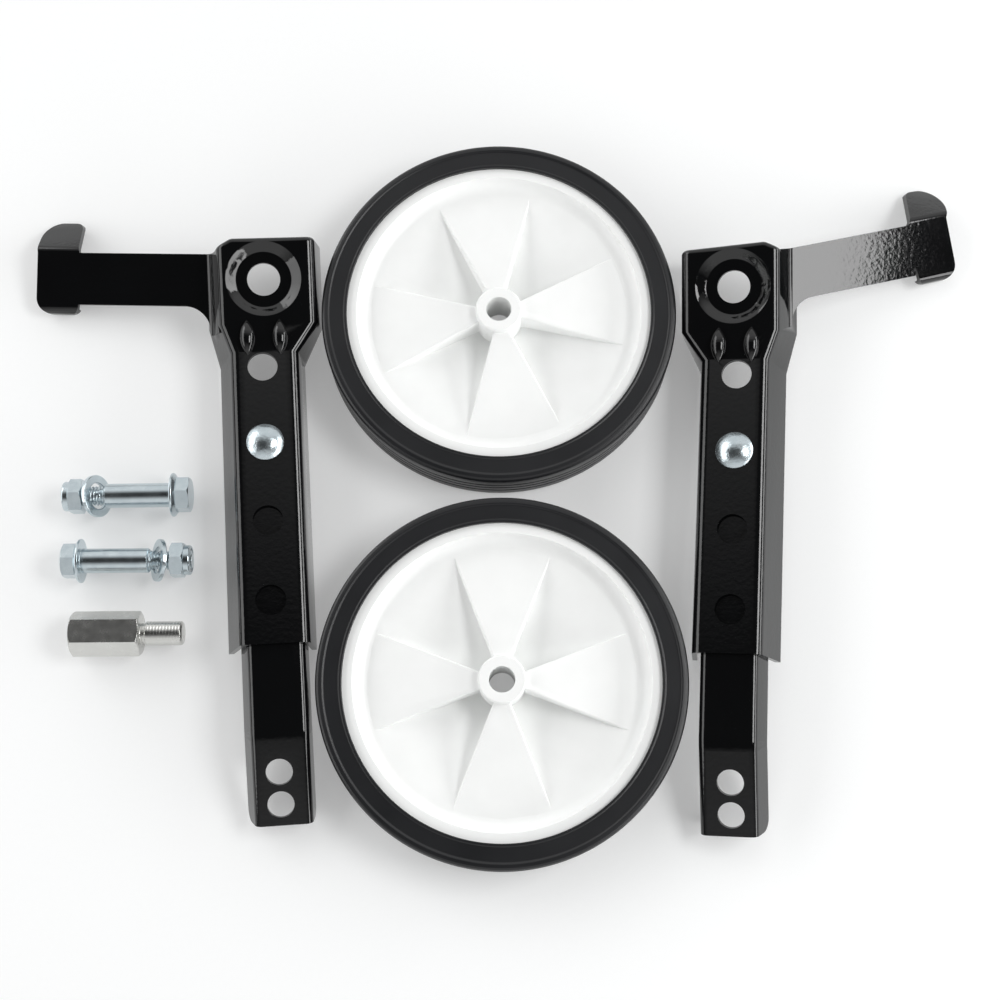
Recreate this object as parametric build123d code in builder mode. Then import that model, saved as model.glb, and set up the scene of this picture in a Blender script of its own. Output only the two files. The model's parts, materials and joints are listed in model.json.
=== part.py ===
"""Bicycle training wheels: two bracket arms, two wheels and the loose hardware, laid out on a table.

Millimetres, +X to the right, +Y away from the viewer, +Z up. The table top is Z = 0 and the
origin lies under the middle of the layout.
"""

import os
from math import atan, cos, radians, sin, tan

from build123d import *

os.makedirs("parts", exist_ok=True)

# Sheet steel shared by the brackets and the extension bars
sheet = 2.0
fold_radius = 4.0
flange_splay_outer = 16.0
flange_splay_inner = 7.0
nest_clearance = 0.8

# Bracket channel: web on top, flanges down, seen from its adjuster bolt at (0, 0, 0)
channel_half_inner = 14.6
channel_half_outer = 12.2
channel_depth = 21.0
hole_pitch = 32.5
hole_radius = 6.1
channel_end = 17.5

# Bracket head: wider, tilted up from the channel at the bend
bend_at = 45.0
taper_below = 6.0
taper_above = 6.0
head_tilt = 14.0
head_shift = 1.8
head_half_inner = 21.2
head_half_outer = 18.2
head_length = 41.5
head_edge_radius = 2.0
head_corner_radius = 4.0
head_corner_run = 9.0
head_corner_fall = 5.0
head_skew_left = 0.0
head_skew_right = 4.0
axle_from_top = 17.0
axle_hole_radius = 6.8
dish_rim_radius = 15.5
dish_seat_radius = 11.5
dish_depth = 3.2
dart_offset = 6.7
dart_length = 15.0
dart_height = 3.2

# Hook arm and claw, folded out of the head's outer flange
hook_drop = 13.0
hook_width = 22.0
hook_length = 77.3
hook_root_radius = 3.5
hook_inner_fillet = 12.0
hook_ledge = 1.0
hook_offset_left = 1.6
hook_angle_left = 4.2
hook_slope_left = 13.5
hook_offset_right = 5.4
hook_angle_right = 12.4
hook_slope_right = 31.0
claw_length = 18.5
claw_margin = 0.4
claw_fold_radius = 3.5
upper_ear_length = 19.0
upper_ear_fold = 48.0
lower_ear_length = 4.8
lower_ear_fold = 85.0
ear_skew_left = 2.0
ear_skew_right = 8.0
ear_taper = 2.0
ear_corner_radius = 7.0
ear_inner_corner = 4.0

# Extension bar: nested under the channel, its lower end folded down
bar_depth = 12.0
bar_fold_radius = 3.0
bar_above_bolt = 26.0
bar_reach = 35.0
bar_tail = 37.0
bar_tail_tilt = 20.0
bar_bend_radius = 18.0
wheel_hole_radius = 5.25
wheel_hole_pitch = 13.0
wheel_hole_from_end = 8.5
bar_corner_radius = 5.0
bar_play_left = -0.3
bar_play_right = 0.5

# Adjuster bolt, washer and nut, clamping the bar to the channel
adjuster_head_radius = 7.6
adjuster_head_height = 4.2
adjuster_head_edge = 0.8
adjuster_neck_clearance = 0.15
adjuster_thread_radius = 4.0
adjuster_thread_length = 11.0
adjuster_washer_radius = 7.4
adjuster_washer_thickness = 1.6
nut_across_flats = 13.0
nut_height = 6.5
hex_chamfer_angle = 30.0
thread_running_fit = 0.05
washer_hole_clearance = 0.3
thread_chamfer = 0.8

# Wheel: rubber tyre on a moulded disc
tyre_radius = 73.8
tyre_width = 22.0
tyre_height = 10.6
tyre_shoulder = 2.8
groove_count = 3
groove_pitch = 4.0
groove_depth = 0.8
groove_width = 0.9
rim_wall = 3.9
rim_inset = 1.7
rim_fold_radius = 5.5
web_wall = 3.0
pad_level = 3.0
pad_angle = 43.0
pad_count = 4
pad_edge_radius = 0.8
pocket_depth = 8.0
hub_radius = 9.6
hub_bore_radius = 5.25
hub_chamfer = 0.6

# Wheel bolts with a flanged head, smooth shoulder and thread
flange_radius = 9.0
flange_thickness = 2.0
flange_edge = 0.9
bolt_head_height = 5.6
shoulder_radius = 5.0
shoulder_length = 27.5
bolt_thread_radius = 4.0
bolt_thread_length = 17.5
shoulder_chamfer = 0.5
washer_radius = 8.7
washer_thickness = 1.8
washer_clearance = 0.4
washer_place = 31.2
washer_lean_upper = -26.0
washer_lean_lower = 28.0
lock_nut_hex = 5.6
lock_nut_collar = 2.6
lock_nut_collar_radius = 6.1
lock_nut_collar_lip = 0.5
nylon_radius = 5.2
nylon_clearance = 0.05
bolt_end_proud = 0.5

# Axle adapter: hex body with a threaded hole, and a stud
adapter_across_flats = 16.0
adapter_length = 28.0
adapter_neck_radius = 4.2
adapter_neck_length = 2.0
adapter_stud_radius = 4.9
adapter_stud_length = 15.0
adapter_hole_radius = 4.5
adapter_hole_depth = 20.0

# Places on the table: the wheels one above the other, an arm each side, the hardware to the left
wheel_gap = 6.2
wheel_stagger = 0.65
upper_wheel_turn = 7.0
left_arm_gap = 21.6
left_arm_rise = 19.1
left_arm_turn = 3.9
right_arm_gap = 20.7
right_arm_rise = 15.1
right_arm_turn = -3.4
upper_bolt_gap = 39.6
upper_bolt_rise = 0.6
upper_bolt_turn = 181.0
lower_bolt_gap = 75.1
lower_bolt_fall = 27.1
adapter_gap = 77.6
adapter_fall = 57.0
hardware_turn = 0.5

wheel_step = tyre_radius + wheel_gap / 2
rim_radius = tyre_radius - tyre_height
left_arm_x = -tyre_radius - left_arm_gap
upper_wheel_at = (-wheel_stagger, wheel_step, upper_wheel_turn)
lower_wheel_at = (wheel_stagger, -wheel_step, 0)
left_arm_at = (left_arm_x, left_arm_rise, left_arm_turn)
right_arm_at = (tyre_radius + right_arm_gap, right_arm_rise, right_arm_turn)
upper_bolt_at = (left_arm_x - upper_bolt_gap, upper_bolt_rise, upper_bolt_turn)
lower_bolt_at = (left_arm_x - lower_bolt_gap, -lower_bolt_fall, hardware_turn)
adapter_at = (left_arm_x - adapter_gap, -adapter_fall, hardware_turn)
lean_outer = tan(radians(flange_splay_outer))
lean_inner = tan(radians(flange_splay_inner))
wall_outer = sheet / cos(radians(flange_splay_outer))
wall_inner = sheet / cos(radians(flange_splay_inner))


def direction(slope):
    """Unit vector along the arm (Y and Z) that rises by the slope in degrees."""
    return Vector(0, cos(radians(slope)), sin(radians(slope)))


def square_to(point, slope):
    """Plane across the arm at a point: x stays lateral, y is up from the sheet."""
    return Plane(origin=point, x_dir=(1, 0, 0), z_dir=direction(slope) * -1)


def channel_line(inner_half, outer_half, depth, inset):
    """Foot, corner, corner and foot of a channel's face; an inset of one sheet gives its inside."""
    left = inset / sheet * wall_inner - inner_half
    right = outer_half - inset / sheet * wall_outer
    return [
        (left - depth * lean_inner, -depth),
        (left - inset * lean_inner, -inset),
        (right + inset * lean_outer, -inset),
        (right + depth * lean_outer, -depth),
    ]


def folded_section(plane, inner_half, outer_half, depth, radius):
    """Section of a sheet folded to a channel, its web's top face on the plane's x axis."""
    outside = channel_line(inner_half, outer_half, depth, 0)
    inside = channel_line(inner_half, outer_half, depth, sheet)
    with BuildSketch(plane) as section:
        with BuildLine():
            FilletPolyline(*outside, radius=radius)
            Line(outside[-1], inside[-1])
            FilletPolyline(*reversed(inside), radius=radius - sheet)
            Line(inside[0], outside[0])
        make_face()
    return section.sketch


def filled_section(plane, inner_half, outer_half, depth, radius):
    """Outline of the same channel with its hollow filled."""
    outside = channel_line(inner_half, outer_half, depth, 0)
    with BuildSketch(plane) as section:
        with BuildLine():
            FilletPolyline(*outside, radius=radius)
            Line(outside[-1], outside[0])
        make_face()
    return section.sketch


def folded_strip(plane, points, radius):
    """Sheet folded along a line of points, thickened below it."""
    with BuildSketch(plane) as strip:
        with BuildLine():
            FilletPolyline(*points, radius=radius)
            offset(amount=sheet, side=Side.RIGHT)
        make_face()
    return strip.sketch


def make_bracket(head_skew, hook_offset, hook_angle, hook_slope, ear_skew):
    """One pressed sheet: channel, tilted head with the axle dish, hook arm and claw on the +X side."""
    along_head = direction(head_tilt)
    head_up = Vector(0, -along_head.Z, along_head.Y)
    bend = Vector(-head_shift, bend_at, 0)
    head_top = bend + along_head * head_length
    axle = head_top - along_head * axle_from_top
    hook_middle = axle + along_head * hook_offset
    channel_foot = -2 * hole_pitch - channel_end

    taper_foot = Vector(0, bend_at - taper_below, 0)
    taper_head = bend + along_head * taper_above
    head_size = (head_half_inner, head_half_outer, channel_depth, fold_radius)
    channel_size = (channel_half_inner, channel_half_outer, channel_depth, fold_radius)
    head_start = folded_section(square_to(taper_head, head_tilt), *head_size)
    channel_start = folded_section(square_to(taper_foot, 0), *channel_size)

    dish_cone = Plane(origin=axle, x_dir=(1, 0, 0), z_dir=along_head * -1)
    with BuildSketch(dish_cone) as dish_section:
        with BuildLine():
            Polyline(
                (dish_rim_radius, 0),
                (dish_seat_radius, -dish_depth),
                (axle_hole_radius, -dish_depth),
                (axle_hole_radius, -dish_depth - sheet),
                (dish_seat_radius, -dish_depth - sheet),
                (dish_rim_radius, -sheet),
                close=True,
            )
        make_face()

    # Each dart is turned from an arc about its chord, drawn as the weighted curve of that arc
    chord = direction(head_tilt / 2)
    dart_turn = 2 * atan(2 * dart_height / dart_length)
    dart_feet = [(taper_foot + taper_head) * 0.5 + Vector(side * dart_offset, 0, 0) for side in (-1, 1)]
    darts = []
    for dart_foot in dart_feet:
        with BuildSketch(Plane(origin=dart_foot, x_dir=chord, z_dir=(1, 0, 0))) as dart_section:
            with BuildLine():
                Bezier(
                    (-dart_length / 2, 0), (0, dart_length / 2 * tan(dart_turn)), (dart_length / 2, 0),
                    weights=[1, cos(dart_turn), 1],
                )
                Line((dart_length / 2, 0), (-dart_length / 2, 0))
            make_face()
        darts.append(dart_section.sketch)

    # The flange turns outwards at the root of the hook arm and slopes down to the claw
    half = hook_width / 2
    rise = tan(radians(hook_angle))
    inner_foot = half + hook_inner_fillet / tan(radians(45 + hook_angle / 2)) + hook_ledge
    root_x = head_half_outer + hook_drop * lean_outer
    slope_x = cos(radians(hook_slope))
    slope_z = sin(radians(hook_slope))
    root = hook_middle + Vector(root_x, 0, 0) - head_up * hook_drop
    outward = Vector(slope_x, 0, 0) - head_up * slope_z
    hook_plane = Plane(origin=root, x_dir=outward, z_dir=head_up * slope_x + Vector(slope_z, 0, 0))
    arm_way = hook_plane.x_dir * cos(radians(hook_angle)) + hook_plane.y_dir * sin(radians(hook_angle))
    plate_length = hook_length - claw_length
    root_strip = folded_strip(
        square_to(hook_middle + along_head * hook_length, head_tilt),
        [
            (head_half_outer + fold_radius * lean_outer, -fold_radius),
            (root_x, -hook_drop),
            (root_x + hook_length * slope_x, -hook_drop - hook_length * slope_z),
        ],
        hook_root_radius,
    )
    with BuildPart() as hook:
        extrude(root_strip, amount=2 * hook_length)
        with BuildSketch(hook_plane):
            with BuildLine():
                FilletPolyline(
                    (-hook_drop, -inner_foot),
                    (hook_ledge, -inner_foot),
                    (hook_ledge, -half + hook_ledge * rise),
                    (plate_length, -half + plate_length * rise),
                    (plate_length, half + plate_length * rise),
                    (-hook_drop, half - hook_drop * rise),
                    radius=[0, 0, hook_inner_fillet, 0, 0, 0],
                    close=True,
                )
            make_face()
        extrude(amount=hook_length, both=True, mode=Mode.INTERSECT)

    # The claw: both ears folded down, its outline rounded at the four corners
    claw_start = root + hook_plane.x_dir * (plate_length - hook_ledge) + hook_plane.y_dir * (
        (plate_length - hook_ledge) * rise
    )
    claw_plane = Plane(origin=claw_start, x_dir=hook_plane.z_dir.cross(arm_way), z_dir=arm_way)
    upper_way = Vector(cos(radians(upper_ear_fold)), -sin(radians(upper_ear_fold)))
    lower_way = Vector(-cos(radians(lower_ear_fold)), -sin(radians(lower_ear_fold)))
    upper_fold = Vector(half + claw_margin + claw_fold_radius * tan(radians(upper_ear_fold / 2)), 0)
    lower_fold = Vector(-half - claw_margin - claw_fold_radius * tan(radians(lower_ear_fold / 2)), 0)
    upper_tip = upper_fold + upper_way * upper_ear_length
    lower_tip = lower_fold + lower_way * lower_ear_length
    claw_strip = folded_strip(
        claw_plane, [lower_tip, lower_fold, upper_fold, upper_tip], claw_fold_radius
    )
    with BuildPart() as claw:
        extrude(claw_strip, amount=claw_length + ear_skew)
        with BuildSketch(Plane(origin=claw_start, x_dir=arm_way, z_dir=hook_plane.z_dir)):
            with BuildLine():
                FilletPolyline(
                    (0, half),
                    (0, lower_tip.X),
                    (claw_length, lower_tip.X),
                    (claw_length, half),
                    (claw_length + ear_skew, upper_tip.X),
                    (ear_skew + ear_taper, upper_tip.X),
                    radius=[0, ear_inner_corner, ear_corner_radius, 0, ear_corner_radius, ear_inner_corner],
                    close=True,
                )
            make_face()
        extrude(amount=hook_length, both=True, mode=Mode.INTERSECT)

    # The head's end: a wall along its skewed top edge that falls away at the hook's corner
    skew = tan(radians(head_skew))
    corner_x = root_x - head_corner_run
    end_line = [
        (-2 * head_half_inner, -2 * head_half_inner * skew),
        (corner_x, corner_x * skew),
        (corner_x + 2 * head_corner_run, (corner_x + 2 * head_corner_run) * skew - 2 * head_corner_fall),
    ]
    head_plan = Plane(origin=head_top, x_dir=(1, 0, 0), z_dir=head_up)
    beyond = head_top + along_head * head_length
    with BuildPart() as end_wall:
        extrude(filled_section(square_to(beyond, head_tilt), *head_size), amount=2 * head_length)
        extrude(
            folded_strip(head_plan, end_line, head_corner_radius),
            amount=channel_depth, both=True, mode=Mode.INTERSECT,
        )

    with BuildPart() as bracket:
        extrude(channel_start, amount=taper_foot.Y - channel_foot)
        loft(sections=[head_start, channel_start])
        extrude(head_start, amount=taper_above - 2 * head_length)
        with BuildSketch(head_plan):
            with BuildLine():
                FilletPolyline(*end_line, radius=head_corner_radius)
                Polyline(
                    end_line[-1],
                    (end_line[-1][0], 2 * head_length),
                    (end_line[0][0], 2 * head_length),
                    end_line[0],
                )
            make_face()
        extrude(amount=channel_depth, both=True, mode=Mode.SUBTRACT)
        add(end_wall.part)
        facing_end = cos(radians(45))
        end_faces = bracket.faces().filter_by(lambda face: face.normal_at().dot(along_head) > facing_end)
        rim = [
            edge for edge in end_faces.edges()
            if edge.bounding_box().size.X > head_corner_radius / 4
            and abs((edge.center() - head_top).dot(head_up)) < fold_radius
        ]
        fillet(rim, radius=head_edge_radius)

        # The flange is cut away where the sheet turns out into the hook arm
        with BuildSketch(square_to(hook_middle + along_head * half, head_tilt)):
            with Locations((root_x, -channel_depth / 2 - hook_drop)):
                Rectangle(2 * fold_radius, channel_depth)
        extrude(amount=hook_width, mode=Mode.SUBTRACT)
        add(hook.part)
        add(claw.part)

        with BuildSketch(Plane(origin=axle, x_dir=(1, 0, 0), z_dir=head_up)):
            Circle(dish_rim_radius)
        extrude(amount=-sheet, mode=Mode.SUBTRACT)
        revolve(dish_section.sketch, axis=Axis(axle, head_up))
        for dart, dart_foot in zip(darts, dart_feet):
            revolve(dart, axis=Axis(dart_foot, chord))

        with Locations(*[(0, row * hole_pitch) for row in (1, 0, -1, -2)]):
            Hole(hole_radius, depth=fold_radius)
    return bracket.part


def make_bar():
    """Folded channel nested under the bracket, its tail folded down and drilled for the wheel bolt."""
    inner_half = channel_half_inner + sheet * lean_inner - wall_inner - nest_clearance
    outer_half = channel_half_outer + sheet * lean_outer - wall_outer - nest_clearance
    bend_y = -2 * hole_pitch - channel_end - bar_reach
    tail_way = direction(bar_tail_tilt) * -1
    tail_up = Vector(0, tail_way.Z, -tail_way.Y)
    tail_end = Vector(0, bend_y, -sheet) + tail_way * bar_tail
    section = folded_section(
        square_to((0, bar_above_bolt, -sheet), 0), inner_half, outer_half, bar_depth, bar_fold_radius
    )
    with BuildPart() as bar:
        with BuildLine(Plane.YZ) as route:
            FilletPolyline(
                (bar_above_bolt, -sheet), (bend_y, -sheet), (tail_end.Y, tail_end.Z), radius=bar_bend_radius
            )
        sweep(section, path=route.wire())
        end_face = bar.faces().sort_by(Axis(tail_end, tail_way))[-1]
        foot_edges = end_face.edges().filter_by(Axis.X).group_by(Axis(tail_end, tail_up))[0]
        fillet(foot_edges, radius=bar_corner_radius)
        with BuildSketch(Plane(origin=tail_end, x_dir=(1, 0, 0), z_dir=tail_up)):
            with Locations(*[(0, wheel_hole_from_end + row * wheel_hole_pitch) for row in (0, 1)]):
                Circle(wheel_hole_radius)
        extrude(amount=-bar_fold_radius, mode=Mode.SUBTRACT)
        with BuildSketch():
            Circle(hole_radius)
        extrude(amount=-sheet - bar_fold_radius, mode=Mode.SUBTRACT)
    return bar.part


def make_adjuster_bolt():
    """Domed head on the web, a neck that fills both webs' holes, and a threaded end."""
    neck_radius = hole_radius - adjuster_neck_clearance
    neck_foot = -2 * sheet
    tip = neck_foot - adjuster_thread_length
    with BuildPart() as bolt:
        with BuildSketch(Plane.XZ):
            with BuildLine():
                Polyline(
                    (0, adjuster_head_height),
                    (0, tip),
                    (adjuster_thread_radius - thread_chamfer, tip),
                    (adjuster_thread_radius, tip + thread_chamfer),
                    (adjuster_thread_radius, neck_foot),
                    (neck_radius, neck_foot),
                    (neck_radius, 0),
                    (adjuster_head_radius, 0),
                    (adjuster_head_radius, adjuster_head_edge),
                )
                TangentArc(
                    (0, adjuster_head_height), (adjuster_head_radius, adjuster_head_edge), tangent=(1, 0),
                )
            make_face()
        revolve(axis=Axis.Z)
    return bolt.part


def make_ring(plane, outer_radius, inner_radius, thickness):
    """Flat washer standing on a plane."""
    with BuildPart() as ring:
        with BuildSketch(plane):
            Circle(outer_radius)
            Circle(inner_radius, mode=Mode.SUBTRACT)
        extrude(amount=thickness)
    return ring.part


def make_hex(plane, across_flats, length, turn=0.0):
    """Hexagon bar standing on a plane, its corners turned off at both ends."""
    flat = across_flats / 2
    corner = flat / cos(radians(30))
    bevel = (corner - flat) * tan(radians(hex_chamfer_angle))
    with BuildPart() as block:
        with BuildSketch(plane):
            RegularPolygon(corner, 6, rotation=turn)
        extrude(amount=length)
        with BuildSketch(Plane(origin=plane.origin, x_dir=plane.x_dir, z_dir=plane.y_dir * -1)):
            with BuildLine():
                Polyline(
                    (0, 0), (flat, 0), (corner, bevel), (corner, length - bevel), (flat, length), (0, length),
                    close=True,
                )
            make_face()
        revolve(axis=Axis(plane.origin, plane.z_dir), mode=Mode.INTERSECT)
    return block.part


def turned(plane, points):
    """Solid of revolution about a plane's normal, from (radius, height) points."""
    with BuildPart() as body:
        with BuildSketch(Plane(origin=plane.origin, x_dir=plane.x_dir, z_dir=plane.y_dir * -1)):
            with BuildLine():
                Polyline(*points, close=True)
            make_face()
        revolve(axis=Axis(plane.origin, plane.z_dir))
    return body.part


def lying(place, height):
    """Plane across a piece that lies on the table: its normal points along the piece, its x axis up."""
    x, y, turn = place
    return Plane(
        origin=(x, y, height), x_dir=(0, 0, 1), z_dir=(cos(radians(turn)), sin(radians(turn)), 0)
    )


def make_wheel_bolt(axis_plane):
    """Hex head with a flange, a smooth shoulder for the wheel hub, and a threaded end."""
    end = shoulder_length + bolt_thread_length
    hex_corner = nut_across_flats / 2 / cos(radians(30))
    with BuildPart() as bolt:
        add(
            turned(
                axis_plane,
                [
                    (0, -flange_thickness),
                    (hex_corner, -flange_thickness),
                    (flange_radius, -flange_edge),
                    (flange_radius, 0),
                    (shoulder_radius, 0),
                    (shoulder_radius, shoulder_length - shoulder_chamfer),
                    (shoulder_radius - shoulder_chamfer, shoulder_length),
                    (bolt_thread_radius, shoulder_length),
                    (bolt_thread_radius, end - thread_chamfer),
                    (bolt_thread_radius - thread_chamfer, end),
                    (0, end),
                ],
            )
        )
        head_plane = axis_plane.offset(-flange_thickness - bolt_head_height)
        add(make_hex(head_plane, nut_across_flats, bolt_head_height + flange_edge))
    return bolt.part


def make_lock_nut(axis_plane):
    """Hexagon with a round collar at its outer end, hollow for the nylon ring."""
    total = lock_nut_hex + lock_nut_collar
    bore = bolt_thread_radius + thread_running_fit
    with BuildPart() as nut:
        add(make_hex(axis_plane, nut_across_flats, lock_nut_hex))
        with BuildSketch(axis_plane.offset(lock_nut_hex - thread_chamfer)):
            Circle(lock_nut_collar_radius)
        extrude(amount=lock_nut_collar + thread_chamfer)
        rim = nut.faces().sort_by(Axis(axis_plane.origin, axis_plane.z_dir))[-1].edges()
        fillet(rim, radius=thread_chamfer)
        with BuildSketch(axis_plane):
            Circle(bore)
        extrude(amount=total, mode=Mode.SUBTRACT)
        with BuildSketch(axis_plane.offset(lock_nut_hex)):
            Circle(nylon_radius)
        extrude(amount=lock_nut_collar - lock_nut_collar_lip, mode=Mode.SUBTRACT)
        with BuildSketch(axis_plane.offset(total - lock_nut_collar_lip)):
            Circle(bolt_thread_radius + 2 * lock_nut_collar_lip)
        extrude(amount=lock_nut_collar_lip, mode=Mode.SUBTRACT)
    return nut.part


def make_adapter(axis_plane):
    """Hex body drilled for the axle's thread, with a neck and a stud turned on its far end."""
    stud_start = adapter_length + adapter_neck_length
    stud_end = stud_start + adapter_stud_length
    with BuildPart() as adapter:
        add(make_hex(axis_plane, adapter_across_flats, adapter_length, turn=30))
        add(
            turned(
                axis_plane.offset(adapter_length - adapter_neck_length),
                [
                    (0, 0),
                    (adapter_neck_radius, 0),
                    (adapter_neck_radius, 2 * adapter_neck_length),
                    (adapter_stud_radius, 2 * adapter_neck_length),
                    (adapter_stud_radius, stud_end - adapter_length + adapter_neck_length - thread_chamfer),
                    (adapter_stud_radius - thread_chamfer, stud_end - adapter_length + adapter_neck_length),
                    (0, stud_end - adapter_length + adapter_neck_length),
                ],
            )
        )
        with BuildSketch(axis_plane):
            Circle(adapter_hole_radius)
        extrude(amount=adapter_hole_depth, mode=Mode.SUBTRACT)
    return adapter.part


def flat_on_table(place):
    """Plane through the middle of a wheel that lies on its side."""
    x, y, turn = place
    return Plane(
        origin=(x, y, tyre_width / 2), x_dir=(cos(radians(turn)), sin(radians(turn)), 0), z_dir=(0, 0, 1)
    )


def make_tyre(middle):
    """Solid rubber ring with rounded shoulders and fine grooves round the tread."""
    across = Plane(origin=middle.origin, x_dir=middle.x_dir, z_dir=middle.y_dir * -1)
    with BuildPart() as tyre:
        with BuildSketch(across):
            with Locations((rim_radius + tyre_height / 2, 0)):
                section = Rectangle(tyre_height, tyre_width)
            fillet(section.vertices().group_by(Axis.X)[-1], radius=tyre_shoulder)
        revolve(axis=Axis(middle.origin, middle.z_dir))
        with BuildSketch(across):
            with Locations((tyre_radius, 0)):
                with GridLocations(0, groove_pitch, 1, groove_count):
                    Rectangle(2 * groove_depth, groove_width)
        revolve(axis=Axis(middle.origin, middle.z_dir), mode=Mode.SUBTRACT)
    return tyre.part


def pad_outline(plane, inner_radius, outer_radius, side_inset):
    """Wedge between two radii, its sides drawn in by an inset."""
    half_angle = radians(pad_angle / 2)
    far_x = (outer_radius**2 - side_inset**2) ** 0.5
    near_x = (inner_radius**2 - side_inset**2) ** 0.5
    corners = []
    for reach in (near_x, far_x):
        for side in (-1, 1):
            corners.append(
                (
                    reach * cos(half_angle) + side_inset * sin(half_angle),
                    side * (reach * sin(half_angle) - side_inset * cos(half_angle)),
                )
            )
    with BuildSketch(plane) as wedge:
        with BuildLine():
            Line(corners[0], corners[2])
            ThreePointArc(corners[2], (outer_radius, 0), corners[3])
            Line(corners[3], corners[1])
            ThreePointArc(corners[1], (inner_radius, 0), corners[0])
        make_face()
    return wedge.sketch


def make_disc(middle):
    """White moulding: hub, sloping web with four hollow raised pads, and the rim that holds the tyre."""
    half = tyre_width / 2
    lip = half - rim_inset
    rim_inner = rim_radius - rim_wall
    pad_radius = rim_inner - rim_fold_radius
    floor = pad_level - pocket_depth
    axis = Axis(middle.origin, middle.z_dir)
    pad_plane = middle.offset(pad_level)
    pad = pad_outline(pad_plane, hub_radius - hub_chamfer, pad_radius + rim_fold_radius / 4, 0)
    hollow = pad_outline(pad_plane.offset(-web_wall), hub_radius + web_wall, pad_radius - web_wall, web_wall)
    with BuildPart() as pads:
        for index in range(pad_count):
            quarter = Rotation(0, 0, index * 360 / pad_count)
            turned_pad = middle.location * quarter * middle.location.inverse()
            extrude(pad.moved(turned_pad), amount=-pocket_depth - web_wall)
        fillet(
            pads.faces().group_by(axis)[-1].edges().filter_by(GeomType.LINE), radius=pad_edge_radius
        )
    with BuildPart() as disc:
        with BuildSketch(Plane(origin=middle.origin, x_dir=middle.x_dir, z_dir=middle.y_dir * -1)):
            with BuildLine():
                Polyline(
                    (rim_inner, pad_level + rim_fold_radius),
                    (rim_inner, lip),
                    (rim_radius, lip),
                    (rim_radius, -lip),
                    (rim_inner, -lip),
                    (rim_inner, pad_level - web_wall),
                    (pad_radius, pad_level - web_wall),
                    (hub_radius, floor - web_wall),
                    (hub_radius, hub_chamfer - half),
                    (hub_radius - hub_chamfer, -half),
                    (hub_bore_radius, -half),
                    (hub_bore_radius, half),
                    (hub_radius - hub_chamfer, half),
                    (hub_radius, half - hub_chamfer),
                    (hub_radius, floor),
                    (pad_radius, pad_level),
                )
                TangentArc((pad_radius, pad_level), (rim_inner, pad_level + rim_fold_radius), tangent=(1, 0))
            make_face()
        revolve(axis=axis)
        add(pads.part)
        for index in range(pad_count):
            quarter = Rotation(0, 0, index * 360 / pad_count)
            turned_pad = middle.location * quarter * middle.location.inverse()
            extrude(hollow.moved(turned_pad), amount=-tyre_width, mode=Mode.SUBTRACT)
    return disc.part


def rest_location(place, side, bracket, bar):
    """Where an arm comes to rest: on its claw, its inner flange at the bend, and its tail's inner corner."""
    x, y, turn = place
    claw_side = [v for v in bracket.vertices() if v.X > head_half_outer + hook_length / 2]
    flange_side = [v for v in bracket.vertices() if v.X < 0 and v.Y > bend_at - taper_below - fold_radius]
    tail_side = [v for v in bar.vertices() if v.X < 0]
    feet = [min(group, key=lambda v: v.Z) for group in (claw_side, flange_side, tail_side)]
    claw, flange, tail = [Vector(foot.X * side, foot.Y, foot.Z) for foot in feet]
    up = (claw - flange).cross(tail - flange)
    if up.Z < 0:
        up = up * -1
    table = Plane(origin=(0, 0, 0), x_dir=Vector(1, 0, 0) - up * (up.X / up.length**2), z_dir=up)
    return Location((x, y, 0), (0, 0, turn)) * table.location.inverse()


kit = {}

# Bracket arms, built with the hook on the right, mirrored for the left one and laid down
washer_bore = adjuster_thread_radius + washer_hole_clearance
washer_seat = Plane.XY.offset(-2 * sheet - adjuster_washer_thickness)
nut_seat = washer_seat.offset(-nut_height)
adjuster_washer = make_ring(washer_seat, adjuster_washer_radius, washer_bore, adjuster_washer_thickness)
with BuildPart() as adjuster_nut:
    add(make_hex(nut_seat, nut_across_flats, nut_height))
    with BuildSketch(nut_seat):
        Circle(adjuster_thread_radius + thread_running_fit)
    extrude(amount=nut_height, mode=Mode.SUBTRACT)

arms = (
    ("left", -1, left_arm_at, bar_play_left,
     (head_skew_left, hook_offset_left, hook_angle_left, hook_slope_left, ear_skew_left)),
    ("right", 1, right_arm_at, bar_play_right,
     (head_skew_right, hook_offset_right, hook_angle_right, hook_slope_right, ear_skew_right)),
)
for name, side, place, bar_play, shape in arms:
    pieces = {
        "bracket": make_bracket(*shape),
        "extension_bar": make_bar().moved(Location((0, 0, 0), (0, 0, bar_play))),
        "adjuster_bolt": make_adjuster_bolt(),
        "adjuster_washer": adjuster_washer,
        "adjuster_nut": adjuster_nut.part,
    }
    laid = rest_location(place, side, pieces["bracket"], pieces["extension_bar"])
    if side < 0:
        pieces = {key: piece.mirror(Plane.YZ) for key, piece in pieces.items()}
    pieces = {key: piece.moved(laid) for key, piece in pieces.items()}
    lift = -min(piece.bounding_box().min.Z for piece in pieces.values())
    for key, piece in pieces.items():
        kit[f"{key}_{name}"] = piece.moved(Location((0, 0, lift)))

# Wheels
for name, place in (("upper", upper_wheel_at), ("lower", lower_wheel_at)):
    middle = flat_on_table(place)
    kit[f"tyre_{name}"] = make_tyre(middle)
    kit[f"wheel_disc_{name}"] = make_disc(middle)

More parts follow.
